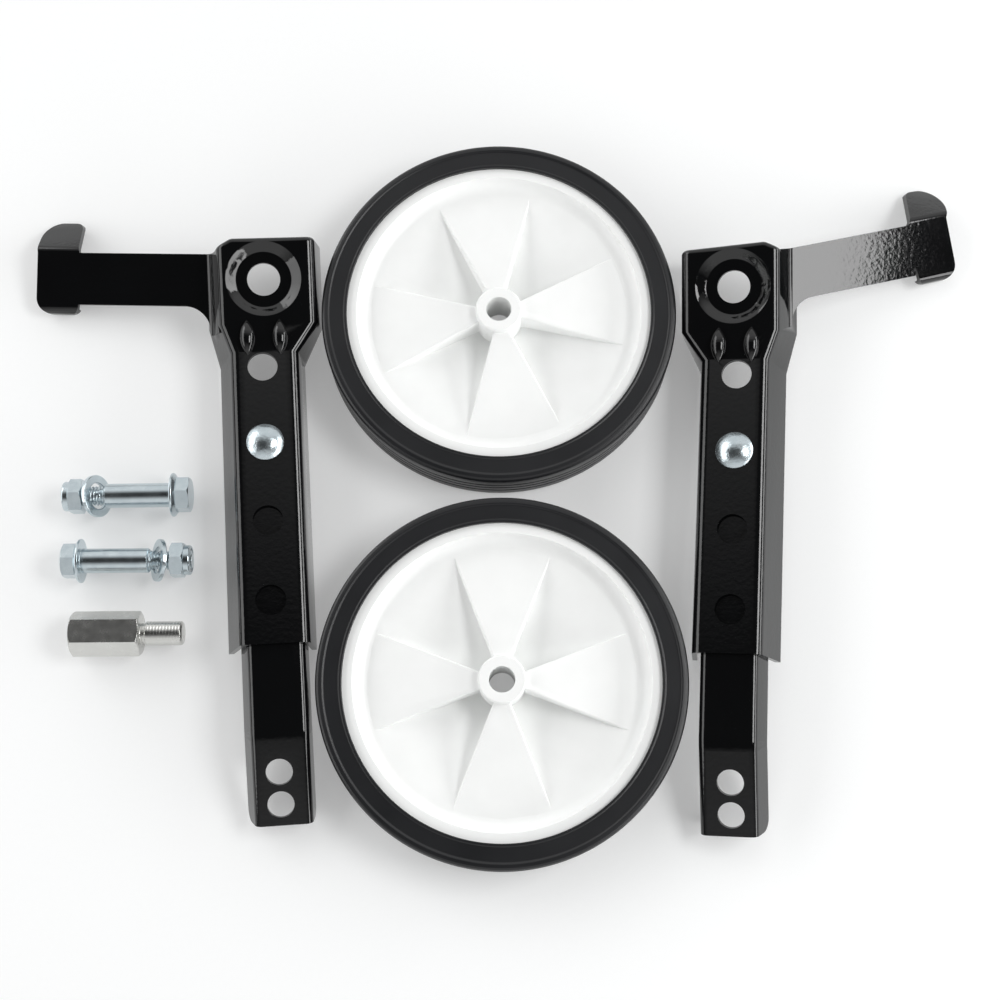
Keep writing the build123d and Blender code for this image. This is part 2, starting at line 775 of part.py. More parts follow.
# Wheel bolts with their loose washers and lock nuts
bolts = (("upper", upper_bolt_at, washer_lean_upper), ("lower", lower_bolt_at, washer_lean_lower))
nut_total = lock_nut_hex + lock_nut_collar
nut_place = shoulder_length + bolt_thread_length - bolt_end_proud - nut_total
for name, place, washer_lean in bolts:
    axis_plane = lying(place, flange_radius)
    kit[f"wheel_bolt_{name}"] = make_wheel_bolt(axis_plane)
    washer_plane = axis_plane.offset(washer_place).rotated((0, washer_lean, 0)).offset(-washer_thickness / 2)
    washer = make_ring(washer_plane, washer_radius, shoulder_radius + washer_clearance, washer_thickness)
    kit[f"bolt_washer_{name}"] = washer
    nut_plane = axis_plane.offset(nut_place)
    kit[f"lock_nut_{name}"] = make_lock_nut(nut_plane)
    nylon_plane = nut_plane.offset(lock_nut_hex)
    nylon_bore = bolt_thread_radius + nylon_clearance
    nylon_length = lock_nut_collar - lock_nut_collar_lip
    kit[f"nylon_ring_{name}"] = make_ring(nylon_plane, nylon_radius, nylon_bore, nylon_length)

kit["axle_adapter"] = make_adapter(lying(adapter_at, adapter_across_flats / 2))

# The origin goes under the middle of the whole layout
boxes = [piece.bounding_box() for piece in kit.values()]
middle_x = (min(box.min.X for box in boxes) + max(box.max.X for box in boxes)) / 2
middle_y = (min(box.min.Y for box in boxes) + max(box.max.Y for box in boxes)) / 2
for label, piece in kit.items():
    centred = piece.moved(Location((-middle_x, -middle_y, 0)))
    centred.label = label
    export_step(centred, f"parts/{label}.step")
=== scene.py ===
# %% [markdown]
# # Bicycle training wheels on a white table
# A pair of training wheels comes as a kit: two black bracket arms, two wheels and a little loose
# hardware. The solids give every piece its true size and place. This lesson dresses them: gloss
# enamel and rubber, a moulded white disc, plated bolts with real threads, then light and a camera.

# %% Load the solids
import json
import math

import bmesh
import bpy
import numpy as np
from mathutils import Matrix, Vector


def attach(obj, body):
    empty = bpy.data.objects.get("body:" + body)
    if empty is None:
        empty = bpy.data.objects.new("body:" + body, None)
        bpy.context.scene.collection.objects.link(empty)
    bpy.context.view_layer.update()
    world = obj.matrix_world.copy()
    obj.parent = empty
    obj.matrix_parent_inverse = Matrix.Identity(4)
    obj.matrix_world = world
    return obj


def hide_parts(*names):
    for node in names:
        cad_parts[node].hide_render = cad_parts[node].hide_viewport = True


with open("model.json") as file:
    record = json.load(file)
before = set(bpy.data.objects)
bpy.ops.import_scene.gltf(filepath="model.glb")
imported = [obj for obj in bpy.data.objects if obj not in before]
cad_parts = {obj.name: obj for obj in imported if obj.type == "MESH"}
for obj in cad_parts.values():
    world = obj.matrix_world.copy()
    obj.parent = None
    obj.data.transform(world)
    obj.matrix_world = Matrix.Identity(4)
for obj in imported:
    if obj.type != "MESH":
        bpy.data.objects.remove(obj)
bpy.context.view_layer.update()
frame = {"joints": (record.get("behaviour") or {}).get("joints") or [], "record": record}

MM = 0.001
record = frame["record"]
print("solids loaded:", len(record["subparts"]), "nodes")

# %% [markdown]
# ## Colours and nodes
# Colours are written the way a picker shows them, as sRGB hex values, and one function makes them
# linear. A second small function adds any shader node with its settings and its links, so that
# each material below reads as a short list of what the real surface is made of.


# %% Colour and node helpers
def linear(hex_colour):
    """sRGB hex value to linear RGBA: the standard power curve with its short straight toe."""
    values = np.array([int(hex_colour[i:i + 2], 16) for i in (1, 3, 5)]) / 255
    toe = values / 12.92
    curve = ((values + 0.055) / 1.055) ** 2.4
    return (*np.where(values <= 0.04045, toe, curve).tolist(), 1.0)


def add_node(tree, kind, inputs=None, **settings):
    """Add a node; a socket given as an input is linked, and any other value is set."""
    node = tree.nodes.new(kind)
    for name, value in settings.items():
        setattr(node, name, value)
    for name, value in (inputs or {}).items():
        if isinstance(value, bpy.types.NodeSocket):
            tree.links.new(value, node.inputs[name])
        else:
            node.inputs[name].default_value = value
    return node


def new_material(name):
    """Empty node material, its node tree, and the Object coordinates that its patterns read."""
    material = bpy.data.materials.new(name)
    material.use_nodes = True
    tree = material.node_tree
    tree.nodes.clear()
    place = add_node(tree, "ShaderNodeTexCoord").outputs["Object"]
    return material, tree, place


def close_material(tree, shader):
    """Link the finished shader to the material's output."""
    add_node(tree, "ShaderNodeOutputMaterial", {"Surface": shader})


finishes = {}
print("middle grey #808080 is", round(linear("#808080")[0], 3), "in linear light")

# %% [markdown]
# ## Gloss black enamel
# The arms are pressed steel, dipped or sprayed with black enamel. It is nearly a mirror, with the
# faint orange peel of a thick coat and a sheen that drifts a little from place to place. Black
# under a gloss shows little of its own colour, so the reflections do the work, and the peel
# breaks up the edges of a reflected lamp. A bump from noise is enough for that: the peel is far
# too shallow to show in an outline.


# %% Gloss black enamel
def black_enamel():
    """Black stove enamel: orange peel about 1.8 mm across, roughness that drifts over 30 mm."""
    peel_size, peel_depth, drift_size = 1.8 * MM, 0.08 * MM, 30 * MM
    material, tree, place = new_material("gloss_black_enamel")
    drift = add_node(
        tree, "ShaderNodeTexNoise", {"Vector": place, "Scale": 1 / drift_size, "Detail": 4.0}
    ).outputs["Fac"]
    rough = add_node(
        tree, "ShaderNodeMapRange", {"Value": drift, "To Min": 0.05, "To Max": 0.10}
    )
    tone = add_node(
        tree, "ShaderNodeMix",
        {"Factor": drift, "A": linear("#060607"), "B": linear("#0b0c0d")}, data_type="RGBA",
    )
    peel = add_node(
        tree, "ShaderNodeTexNoise", {"Vector": place, "Scale": 1 / peel_size, "Detail": 2.0}
    )
    bump = add_node(
        tree, "ShaderNodeBump",
        {"Height": peel.outputs["Fac"], "Strength": 0.4, "Distance": peel_depth},
    )
    shader = add_node(
        tree, "ShaderNodeBsdfPrincipled",
        {
            "Base Color": tone.outputs["Result"], "Roughness": rough.outputs["Result"],
            "Normal": bump.outputs["Normal"], "IOR": 1.55,
        },
    )
    close_material(tree, shader.outputs["BSDF"])
    return material


finishes["black_enamel"] = black_enamel()
print("finish:", finishes["black_enamel"].name)

# %% [markdown]
# ## Tyre rubber
# The tyres are solid moulded rubber, charcoal and satin. The mould leaves a fine even grain, and
# the colour is a little mottled where the surface has bloomed. The real grain is finer than a
# pixel here, so it is drawn a little coarser, and it softens the long highlight on the shoulder.


# %% Charcoal rubber
def charcoal_rubber():
    """Moulded rubber: grain drawn at 0.8 mm so that it shows, bloom in patches of about 25 mm."""
    grain_size, grain_depth, bloom_size = 0.8 * MM, 0.1 * MM, 25 * MM
    material, tree, place = new_material("charcoal_moulded_rubber")
    bloom = add_node(
        tree, "ShaderNodeTexNoise", {"Vector": place, "Scale": 1 / bloom_size, "Detail": 4.0}
    ).outputs["Fac"]
    tone = add_node(
        tree, "ShaderNodeMix",
        {"Factor": bloom, "A": linear("#0e0f12"), "B": linear("#141518")}, data_type="RGBA",
    )
    rough = add_node(
        tree, "ShaderNodeMapRange", {"Value": bloom, "To Min": 0.34, "To Max": 0.46}
    )
    grain = add_node(
        tree, "ShaderNodeTexNoise", {"Vector": place, "Scale": 1 / grain_size, "Detail": 2.0}
    )
    bump = add_node(
        tree, "ShaderNodeBump",
        {"Height": grain.outputs["Fac"], "Strength": 0.15, "Distance": grain_depth},
    )
    shader = add_node(
        tree, "ShaderNodeBsdfPrincipled",
        {
            "Base Color": tone.outputs["Result"], "Roughness": rough.outputs["Result"],
            "Normal": bump.outputs["Normal"], "IOR": 1.52,
        },
    )
    close_material(tree, shader.outputs["BSDF"])
    return material


finishes["tyre_rubber"] = charcoal_rubber()
print("finish:", finishes["tyre_rubber"].name)

# %% [markdown]
# ## White moulded plastic
# The wheel discs are injection-moulded polypropylene, bright white with a soft sheen. Up close
# such a moulding has a faint waviness from cooling and a very fine grain. Two bumps in a row,
# the long one first, keep the two sizes apart.


# %% White moulded plastic
def white_polypropylene():
    """Moulded polypropylene: waviness about 12 mm long, grain about 0.6 mm."""
    wave_size, wave_depth = 12 * MM, 0.3 * MM
    grain_size, grain_depth = 0.6 * MM, 0.05 * MM
    material, tree, place = new_material("white_moulded_polypropylene")
    wave = add_node(
        tree, "ShaderNodeTexNoise", {"Vector": place, "Scale": 1 / wave_size, "Detail": 2.0}
    ).outputs["Fac"]
    grain = add_node(
        tree, "ShaderNodeTexNoise", {"Vector": place, "Scale": 1 / grain_size, "Detail": 1.0}
    )
    tone = add_node(
        tree, "ShaderNodeMix",
        {"Factor": wave, "A": linear("#f3f4f3"), "B": linear("#fafbfa")}, data_type="RGBA",
    )
    low = add_node(
        tree, "ShaderNodeBump", {"Height": wave, "Strength": 0.05, "Distance": wave_depth}
    )
    fine = add_node(
        tree, "ShaderNodeBump",
        {
            "Height": grain.outputs["Fac"], "Strength": 0.04, "Distance": grain_depth,
            "Normal": low.outputs["Normal"],
        },
    )
    shader = add_node(
        tree, "ShaderNodeBsdfPrincipled",
        {
            "Base Color": tone.outputs["Result"], "Roughness": 0.42, "IOR": 1.49,
            "Normal": fine.outputs["Normal"],
        },
    )
    close_material(tree, shader.outputs["BSDF"])
    return material


finishes["white_plastic"] = white_polypropylene()
print("finish:", finishes["white_plastic"].name)

# %% [markdown]
# ## Plated steel
# Bolts, nuts and washers are turned or pressed steel with bright zinc plate, which has a cool blue
# cast. The axle adapter is cut from drawn hexagon bar and plated in a duller, warmer nickel: its
# flats keep the long fine lines of the drawing die. The domed bolt heads were struck cold, and
# the blows left them faintly dimpled. One recipe covers all three, with marks of another size,
# stretch and depth.


# %% Zinc and nickel plate
def plated_steel(name, tones, roughness, mark_size, mark_stretch, mark_depth):
    """Plated steel: cloudy tone, and fine marks, stretched along X, the way the pieces lie."""
    cloud_size = 4 * MM
    material, tree, place = new_material(name)
    cloud = add_node(
        tree, "ShaderNodeTexNoise", {"Vector": place, "Scale": 1 / cloud_size, "Detail": 4.0}
    ).outputs["Fac"]
    dark, light = tones
    tone = add_node(
        tree, "ShaderNodeMix",
        {"Factor": cloud, "A": linear(dark), "B": linear(light)}, data_type="RGBA",
    )
    smooth, dull = roughness
    rough = add_node(
        tree, "ShaderNodeMapRange", {"Value": cloud, "To Min": smooth, "To Max": dull}
    )
    stretched = add_node(
        tree, "ShaderNodeMapping", {"Vector": place, "Scale": (1 / mark_stretch, 1.0, 1.0)}
    )
    marks = add_node(
        tree, "ShaderNodeTexNoise",
        {"Vector": stretched.outputs["Vector"], "Scale": 1 / mark_size, "Detail": 2.0},
    )
    bump = add_node(
        tree, "ShaderNodeBump",
        {"Height": marks.outputs["Fac"], "Strength": 1.0, "Distance": mark_depth},
    )
    shader = add_node(
        tree, "ShaderNodeBsdfPrincipled",
        {
            "Base Color": tone.outputs["Result"], "Metallic": 1.0,
            "Roughness": rough.outputs["Result"], "Normal": bump.outputs["Normal"],
        },
    )
    close_material(tree, shader.outputs["BSDF"])
    return material


zinc_tones, nickel_tones = ("#b4c0c6", "#d3dde1"), ("#c6c6c3", "#d8d8d5")
finishes["zinc_steel"] = plated_steel(
    "bright_zinc_plate", zinc_tones, roughness=(0.18, 0.28),
    mark_size=0.5 * MM, mark_stretch=1.0, mark_depth=0.005 * MM,
)
finishes["nickel_steel"] = plated_steel(
    "dull_nickel_plate", nickel_tones, roughness=(0.20, 0.32),
    mark_size=0.4 * MM, mark_stretch=40.0, mark_depth=0.004 * MM,
)
dome_finish = plated_steel(
    "hammered_zinc_plate", zinc_tones, roughness=(0.20, 0.32),
    mark_size=1.8 * MM, mark_stretch=1.0, mark_depth=0.14 * MM,
)
print("finishes:", finishes["zinc_steel"].name, finishes["nickel_steel"].name, dome_finish.name)

# %% [markdown]
# ## Nylon
# A lock nut grips because a nylon ring in its collar is a little too small for the thread. The
# ring is milky and shows only as a pale circle round the bolt's end, so a cloudy tone is enough.


# %% Pale nylon
def pale_nylon():
    """Nylon ring of a lock nut: milky, a little cloudy over 3 mm."""
    cloud_size = 3 * MM
    material, tree, place = new_material("pale_nylon")
    cloud = add_node(tree, "ShaderNodeTexNoise", {"Vector": place, "Scale": 1 / cloud_size})
    tone = add_node(
        tree, "ShaderNodeMix",
        {"Factor": cloud.outputs["Fac"], "A": linear("#d5dade"), "B": linear("#e6eaec")},
        data_type="RGBA",
    )
    shader = add_node(
        tree, "ShaderNodeBsdfPrincipled",
        {"Base Color": tone.outputs["Result"], "Roughness": 0.45, "IOR": 1.53},
    )
    close_material(tree, shader.outputs["BSDF"])
    return material


finishes["nylon"] = pale_nylon()
print("finishes by slot:", sorted(finishes))

# %% [markdown]
# ## Pressed and moulded pieces
# The arms, discs and adjuster bolts are right in the solids, but their triangles meet without
# shared corners and their edges are knife sharp. A real sheet edge is slightly round and catches
# a thin line of light. They could be drawn again from nothing, but a copy of the solid keeps
# every hole and fold where it is. So each one is copied, welded, cleared of the cuts across its
# flat faces, and bevelled. First come the helpers that measure a mesh and dress a finished piece.

# %% Measure a mesh and dress a piece
slots = {part["node"]: part["material_slot"] for part in record["subparts"]}
mounts = {mount["name"]: mount for mount in record["mounts"]}


def read_points(mesh):
    """All points of a mesh as an array of rows."""
    points = np.empty(len(mesh.vertices) * 3)
    mesh.vertices.foreach_get("co", points)
    return points.reshape(-1, 3)


def from_axis(points, mount):
    """A mount's axis, and each point's height along it and distance from it."""
    axis = np.array(mount["axis"]) / np.linalg.norm(mount["axis"])
    offset = points - np.array(mount["pos_m"])
    height = offset @ axis
    return axis, height, np.linalg.norm(offset - height[:, None] * axis, axis=1)


def body_of_node(node):
    """Name of the body that carries a node."""
    for body, nodes in record["behaviour"]["bodies"].items():
        if node in nodes:
            return body


def dress(obj, node, finish=None):
    """Give a finished piece its finish and its body, and let it stand for its solid."""
    slot = slots[node]
    obj.data.materials.clear()
    obj.data.materials.append(finish or finishes[slot])
    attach(obj, body_of_node(node))
    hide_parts(node)


print("mounts:", sorted(mounts))

# %% [markdown]
# ## Dish round the axle hole
# The bracket's head is pressed down in a dish, so that the axle nut sits deep. In the solid the
# dish's wall is a straight cone, but sheet steel flows into such a wall in a soft S. A bevel on
# its two circles tangles where the wall's long faces meet, so the wall is divided instead, and
# one formula moves the new points along the hole's axis.

# %% Soften the dish
dish_foot, dish_rim = (11.5 * MM, 1.0 * MM), (15.5 * MM, 4.2 * MM)
dish_cuts, dish_softness, near_circle = 7, 0.4, 0.25 * MM


def on_circle(height, reach, circle):
    """True for each point that lies near a circle, given as its radius and its level."""
    radius, level = circle
    return (abs(reach - radius) < near_circle) & (abs(height - level) < near_circle)


def dish_wall(mesh, mount):
    """Numbers of the edges that run from the foot to the rim of the dish round an axle hole."""
    _, height, reach = from_axis(read_points(mesh), mount)
    ends = np.empty(len(mesh.edges) * 2, dtype=int)
    mesh.edges.foreach_get("vertices", ends)
    ends = ends.reshape(-1, 2)
    foot = on_circle(height, reach, dish_foot)[ends]
    rim = on_circle(height, reach, dish_rim)[ends]
    return np.flatnonzero((foot[:, 0] & rim[:, 1]) | (foot[:, 1] & rim[:, 0])).tolist()


def soften_dish(mesh, mount):
    """Divide the wall, then bend it: height grows by depth * softness * (3 t^2 - 2 t^3 - t)."""
    shell = bmesh.new()
    shell.from_mesh(mesh)
    shell.edges.ensure_lookup_table()
    wall = [shell.edges[number] for number in dish_wall(mesh, mount)]
    bmesh.ops.subdivide_edges(shell, edges=wall, cuts=dish_cuts, use_grid_fill=True)
    shell.to_mesh(mesh)
    shell.free()
    points = read_points(mesh)
    axis, height, reach = from_axis(points, mount)
    depth = dish_rim[1] - dish_foot[1]
    t = (reach - dish_foot[0]) / (dish_rim[0] - dish_foot[0])
    on_wall = (t > 0) & (t < 1) & (abs(height - dish_foot[1] - depth * t) < near_circle)
    bend = np.where(on_wall, depth * dish_softness * (3 * t ** 2 - 2 * t ** 3 - t), 0)
    mesh.vertices.foreach_set("co", (points + bend[:, None] * axis).ravel())
    print("dish wall:", len(wall), "edges divided")


print("dish: %.1f mm deep" % ((dish_rim[1] - dish_foot[1]) / MM))

# %% [markdown]
# ## Pads of the discs
# Four broad pads stand on the disc's web, and between them it falls away to the hub. On the real
# moulding the pads also climb a little towards the hub, like shallow ramps. The solid has them
# level. Every point of a pad lies above the sloping web, so the points can be picked by height
# and lifted in proportion to how near the hub they are, with no new faces.

# %% Raise the pads
pad_rise, pad_reach, hub_reach = 4.5 * MM, 53.0 * MM, 9.6 * MM
pad_top, recess_floor, near_level = 3.0 * MM, -5.0 * MM, 0.25 * MM


def raise_pads(mesh, mount):
    """Lift a disc's pads off the sloping web: nothing at the rim, the whole rise at the hub."""
    points = read_points(mesh)
    _, height, reach = from_axis(points, mount)
    inwards = np.clip((pad_reach - reach) / (pad_reach - hub_reach), 0, 1)
    web = pad_top - (pad_top - recess_floor) * inwards
    off_hub = reach > hub_reach - near_level
    on_pad = off_hub & (height > web + near_level) & (height < pad_top + near_level)
    points[:, 2] += np.where(on_pad, pad_rise * inwards, 0)
    mesh.vertices.foreach_set("co", points.ravel())
    print("pads:", np.count_nonzero(on_pad), "points lifted")


print("pads: up to %.1f mm of rise" % (pad_rise / MM))

# %% [markdown]
# ## Weld, shade and bevel
# The copy is welded and its flat faces are joined again, because a bevel needs whole faces to run
# along. Edges sharper than a fold's facets get a small round, as wide as the finish would leave
# it: thick enamel more than moulded plastic, and plated steel the least.

# %% Pressed and moulded pieces
edge_angle, flat_angle = math.radians(28), math.radians(0.6)
weld_distance, edge_segments = 0.002 * MM, 3
edge_widths = {"black_enamel": 0.6 * MM, "white_plastic": 0.35 * MM, "zinc_steel": 0.2 * MM}
pressed_kinds = ("bracket", "extension_bar", "wheel_disc", "adjuster")


def welded_mesh(node):
    """Copy of a solid's mesh with its corners merged and its flat faces joined."""
    shell = bmesh.new()
    shell.from_mesh(bpy.data.objects[node].data)
    bmesh.ops.remove_doubles(shell, verts=shell.verts, dist=weld_distance)
    bmesh.ops.dissolve_limit(
        shell, angle_limit=flat_angle, use_dissolve_boundaries=False,
        verts=shell.verts, edges=shell.edges,
    )
    mesh = bpy.data.meshes.new(node + "_dressed")
    shell.to_mesh(mesh)
    shell.free()
    return mesh


def add_smooth(name, mesh):
    """Object in the scene from a mesh that is shaded smooth up to the edge angle."""
    mesh.shade_smooth()
    mesh.set_sharp_from_angle(angle=edge_angle)
    piece = bpy.data.objects.new(name, mesh)
    bpy.context.collection.objects.link(piece)
    return piece


def pressed_piece(node):
    """Dressed copy of a solid: dish or pads reshaped, folds shaded smooth, edges bevelled."""
    kind, side = node.rsplit("_", 1)
    mesh = welded_mesh(node)
    if kind == "bracket":
        soften_dish(mesh, mounts["axle_hole_" + side])
    if kind == "wheel_disc":
        raise_pads(mesh, mounts["hub_" + side])
    piece = add_smooth(node + "_dressed", mesh)
    bevel = piece.modifiers.new("round_edges", "BEVEL")
    bevel.width = edge_widths[slots[node]]
    bevel.segments = edge_segments
    bevel.limit_method = "ANGLE"
    bevel.angle_limit = edge_angle
    bevel.harden_normals = True
    dress(piece, node, dome_finish if kind == "adjuster_bolt" else None)
    print(piece.name, len(mesh.polygons), "faces")


for node in slots:
    if node.startswith(pressed_kinds):
        pressed_piece(node)

# %% [markdown]
# ## Surfaces from grids
# Tyres, bolts, nuts and washers are turned or moulded round an axis, so each is one grid: rows
# follow a profile, columns go round the axis. Numpy works out all points at once. A profile is a
# list of corners, each with its own rounding, because a real edge is never knife sharp. It is
# then divided finely enough for threads and for the chamfers of a hexagon.


# %% Profiles and grids
def rounded(corners, steps=5):
    """Each corner (length, radius, cut) is cut back by its cut and bridged by a quadratic curve."""
    corners = np.array(corners, dtype=float)
    points, cuts = corners[:, :2], corners[:, 2:]
    back = np.roll(points, 1, axis=0) - points
    ahead = np.roll(points, -1, axis=0) - points
    start = points + back / np.linalg.norm(back, axis=1, keepdims=True) * cuts
    end = points + ahead / np.linalg.norm(ahead, axis=1, keepdims=True) * cuts
    t = np.linspace(0, 1, steps)[None, :, None]
    middle = 2 * t * (1 - t) * points[:, None]
    return ((1 - t) ** 2 * start[:, None] + middle + t ** 2 * end[:, None]).reshape(-1, 2)


def divided(profile, step, closed):
    """The same profile with further points, so that no two are more than a step apart."""
    if closed:
        profile = np.vstack([profile, profile[:1]])
    run = np.concatenate([[0], np.cumsum(np.linalg.norm(np.diff(profile, axis=0), axis=1))])
    stations = np.union1d(run, np.arange(0, run[-1], step))
    fine = np.stack([np.interp(stations, run, profile[:, k]) for k in (0, 1)], axis=1)
    return fine[:-1] if closed else fine


def grid_faces(rows, columns, closed):
    """Quads between neighbouring rows and columns; columns wrap, and rows wrap if closed."""
    i = np.arange(rows if closed else rows - 1)[:, None]
    j = np.arange(columns)[None, :]
    here, ahead = i * columns, (i + 1) % rows * columns
    beside = (j + 1) % columns
    corners = [here + j, here + beside, ahead + beside, ahead + j]
    return np.stack(corners, axis=-1).reshape(-1, 4)


print("a closed grid of 3 by 4 points has", len(grid_faces(3, 4, closed=True)), "faces")

# %% [markdown]
# ## Turned form
# One formula covers every turned piece. At length s along the axis and angle t round it, the
# radius is the profile's, held down to flat / cos(angle from the flat's middle) where a hexagon is
# cut, and less a cosine wave that climbs one pitch per turn where a thread is cut. A thread made
# from a bump would vanish in the outline, so it is cut into the points themselves.

# %% Radius, hexagon and thread
nearly_upright = 0.99


def across(along):
    """Two unit vectors square to an axis: one level, one as upright as it can be."""
    level = np.cross(along, (0.0, 0.0, 1.0) if abs(along[2]) < nearly_upright else (0.0, 1.0, 0.0))
    level /= np.linalg.norm(level)
    return level, np.cross(level, along)


def hexagon(radius, s, turn, flat, span, flat_turn):
    """Radius held down to flat / cos(angle from the nearest flat's middle) inside a span of s."""
    sixth = math.pi / 3
    off_middle = np.mod(turn - flat_turn + sixth / 2, sixth) - sixth / 2
    inside = (s >= span[0]) & (s <= span[1])
    return np.where(inside, np.minimum(radius, flat / np.cos(off_middle)), radius)


def thread(radius, s, turn, pitch, depth, span):
    """Radius less a cosine wave of the thread's depth, fading in and out over one pitch."""
    wave = 0.5 - 0.5 * np.cos(2 * math.pi * s / pitch - turn)
    fade = np.clip((s - span[0]) / pitch, 0, 1) * np.clip((span[1] - s) / pitch, 0, 1)
    return radius - depth * wave * fade


def turned_grid(profile, start, along, cutters, columns):
    """Points start + s * along + r(s, t) * (cos t * level + sin t * upright), cutters changing r."""
    level, upright = across(along)
    s, radius = profile[:, :1], profile[:, 1:]
    turn = np.linspace(0, 2 * math.pi, columns, endpoint=False)[None, :]
    radius = np.broadcast_to(radius, (len(profile), columns))
    for cutter, values in cutters:
        radius = cutter(radius, s, turn, *values)
    around = np.cos(turn)[..., None] * level + np.sin(turn)[..., None] * upright
    return np.array(start) + s[..., None] * np.array(along) + radius[..., None] * around


print("an axis along X has these two across it:", *across(np.array((1.0, 0.0, 0.0))))

# %% [markdown]
# ## From grid to piece
# The grid's ends meet at the axis or at the seam, so doubles are merged there, and then the
# normals are made to point outwards. Weighted normals let the large flat faces rule the shading
# beside a small rounded edge.


# %% Turned pieces
def add_surface(name, points, closed):
    """Mesh object from a grid of points in millimetres: welded, faces outwards, shaded smooth."""
    rows, columns, _ = points.shape
    faces = grid_faces(rows, columns, closed)
    mesh = bpy.data.meshes.new(name)
    mesh.from_pydata((points.reshape(-1, 3) * MM).tolist(), [], faces.tolist())
    shell = bmesh.new()
    shell.from_mesh(mesh)
    bmesh.ops.remove_doubles(shell, verts=shell.verts, dist=weld_distance)
    bmesh.ops.recalc_face_normals(shell, faces=shell.faces)
    shell.to_mesh(mesh)
    shell.free()
    piece = add_smooth(name, mesh)
    even = piece.modifiers.new("even_shading", "WEIGHTED_NORMAL")
    even.keep_sharp = True
    return piece


def turned_piece(node, outline, start, along, closed=True, cutters=(), columns=72):
    """Turn an outline round an axis, and dress the surface as the piece for a node."""
    grid = turned_grid(outline, start, along, cutters, columns)
    piece = add_surface(node + "_dressed", grid, closed)
    dress(piece, node)
    print(piece.name, len(piece.data.polygons), "faces")


print("turned pieces weld at", weld_distance / MM, "mm")

# %% [markdown]
# ## Tyres
# Each tyre is a solid rubber ring. Its side has a shallow band between the bead and a thin rib at
# the shoulder, and three fine grooves run round the tread. The ring's section is drawn once, top
# half first, mirrored to the lower half and carried round the wheel's axis.

# %% Tyre section
tyre_radius, tyre_inner, tyre_half = 73.8, 63.2, 11.0
shoulder, bead, band_depth, rib = 2.8, 1.0, 0.4, 0.7
bead_round, band_round, rib_round, shoulder_round = 0.4, 0.2, 0.3, 2.6
groove_places, groove_half, groove_depth = (4.0, 0.0), 0.45, 0.8
groove_lip, groove_foot = 0.25, 0.1


def groove(place):
    """Four corners of one groove, from its upper lip to its lower lip."""
    top, foot, deep = place + groove_half, place - groove_half, tyre_radius - groove_depth
    return [
        (top, tyre_radius, groove_lip), (top, deep, groove_foot),
        (foot, deep, groove_foot), (foot, tyre_radius, groove_lip),
    ]


def tyre_section():
    """Closed (height, radius) outline: upper side, shoulder, grooves, and the mirror image below."""
    band_start, band_end = tyre_inner + bead + band_depth, tyre_radius - shoulder - rib
    upper = [
        (tyre_half, tyre_inner, bead_round),
        (tyre_half, tyre_inner + bead, band_round),
        (tyre_half - band_depth, band_start, band_round),
        (tyre_half - band_depth, band_end, rib_round),
        (tyre_half, band_end + rib, rib_round),
        (tyre_half, tyre_radius, shoulder_round),
        *groove(groove_places[0]),
    ]
    lower = [(-height, radius, cut) for height, radius, cut in reversed(upper)]
    return rounded(upper + groove(groove_places[1]) + lower)


print("tyre section:", len(tyre_section()), "points")

# %% Tyres
tyre_step, tyre_columns = 2.0, 240
upwards = np.array((0.0, 0.0, 1.0))
for which in ("upper", "lower"):
    middle = np.array(mounts["hub_" + which]["pos_m"]) / MM
    outline = divided(tyre_section(), tyre_step, closed=True)
    turned_piece("tyre_" + which, outline, middle, upwards, columns=tyre_columns)

# %% [markdown]
# ## Wheel bolts
# Each wheel bolt is cold headed: a hexagon with a flange, a smooth shoulder that the wheel turns
# on, and a rolled M8 thread. The lock nut's joint gives the bolt's axis, so everything on the
# bolt lines up with it. A modelled spiral and a boolean could cut the thread, but the formula
# above gives a cleaner mesh.

# %% Wheel bolts
sharp, bevel_edge, face_edge, step_edge, rim_edge = 0.0, 0.1, 0.15, 0.2, 0.3
thread_pitch, thread_depth, tip_bevel = 1.25, 0.55, 0.8
nut_flat, flange_radius, flange_thickness, flange_edge, head_height = 6.5, 9.0, 2.0, 0.9, 5.6
shoulder_radius, shoulder_length, shoulder_bevel = 5.0, 27.5, 0.5
thread_radius, bolt_length, bolt_step = 4.0, 45.0, 0.16
nut_from_flange, nut_hex = 36.3, 5.6
hex_corner = nut_flat / math.cos(math.pi / 6)
hex_bevel, hex_seam = (hex_corner - nut_flat) * math.tan(math.pi / 6), 0.01
flange_top = -flange_thickness


def bolt_profile():
    """Open (length, radius) outline from the head's middle to the middle of the thread's end."""
    head = flange_top - head_height
    return rounded([
        (head, 0, sharp),
        (head, nut_flat, face_edge),
        (head + hex_bevel, hex_corner, bevel_edge),
        (flange_top - 2 * hex_seam, hex_corner, sharp),
        (flange_top, hex_corner, sharp),
        (-flange_edge, flange_radius, rim_edge),
        (0, flange_radius, rim_edge),
        (0, shoulder_radius, step_edge),
        (shoulder_length - shoulder_bevel, shoulder_radius, bevel_edge),
        (shoulder_length, shoulder_radius - shoulder_bevel, bevel_edge),
        (shoulder_length, thread_radius, sharp),
        (bolt_length - tip_bevel, thread_radius, step_edge),
        (bolt_length, thread_radius - tip_bevel, step_edge),
        (bolt_length, 0, sharp),
    ])


